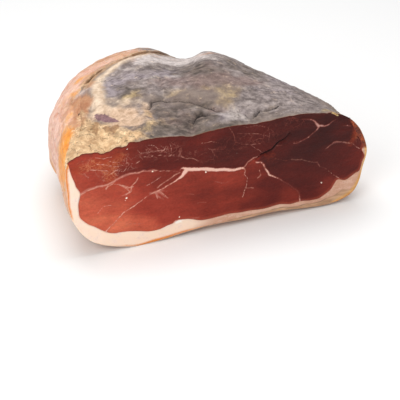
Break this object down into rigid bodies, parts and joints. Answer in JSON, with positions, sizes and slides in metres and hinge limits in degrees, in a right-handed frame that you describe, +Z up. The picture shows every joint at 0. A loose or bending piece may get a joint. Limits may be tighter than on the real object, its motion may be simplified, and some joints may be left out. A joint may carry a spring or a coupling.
{
  "type": "half cured ham",
  "caption": "Half of a boneless pressed dry-cured ham, cut straight across to show dark marbled lean inside a coat of pale fat and rind, lying on its flat underside.",
  "frame": {"origin": "middle of the flat base, on the surface that the ham lies on", "axes": "+X to the right along the cut face, the cut face looks along -Y, +Z up"},
  "size_m": [0.2723, 0.2052, 0.1073],
  "materials": {
    "lean_meat": "moist dark red cured muscle with fine pale marbling; the dried top is matt and grey with mould",
    "fat_and_rind": "creamy white fat at the cut, waxy pink-tan to orange rind outside"
  },
  "bodies": {
    "root": {"lean_meat": "lean_meat", "fat_and_rind": "fat_and_rind"}
  },
  "joints": []
}
